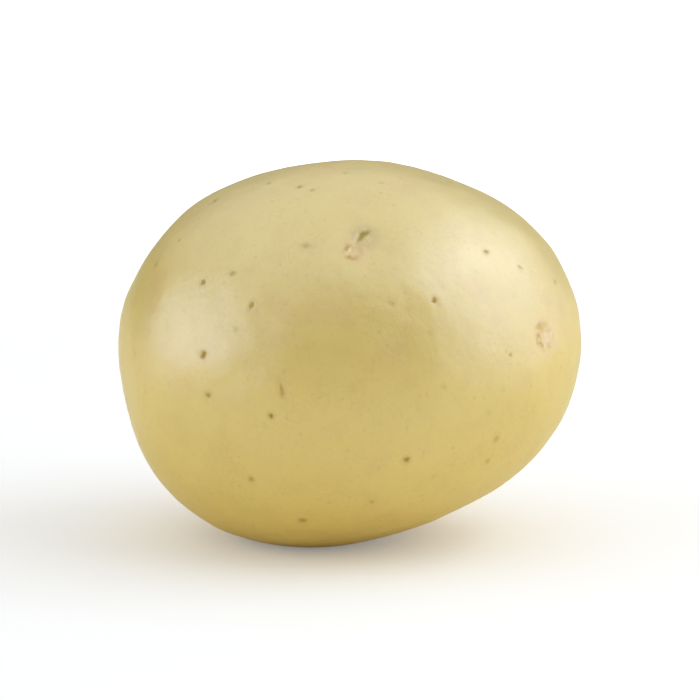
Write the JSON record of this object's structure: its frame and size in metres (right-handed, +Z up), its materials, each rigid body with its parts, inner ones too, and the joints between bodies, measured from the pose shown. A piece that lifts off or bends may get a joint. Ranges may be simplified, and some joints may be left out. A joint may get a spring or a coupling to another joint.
{
  "type": "potato",
  "caption": "Small washed new potato: a slightly leaning, oval tuber with thin pale skin, shallow eyes and a small flat spot to rest on.",
  "frame": {"origin": "on the surface that the potato rests on, under the middle of its box", "axes": "+Z up, +X towards the stem end, -Y the side with the front eye"},
  "size_m": [0.0456, 0.0414, 0.0374],
  "materials": {
    "potato_skin": "thin, washed, slightly waxy pale yellow skin with fine brown pores and a faint mottle"
  },
  "bodies": {
    "root": {"potato": "potato_skin"}
  },
  "joints": []
}
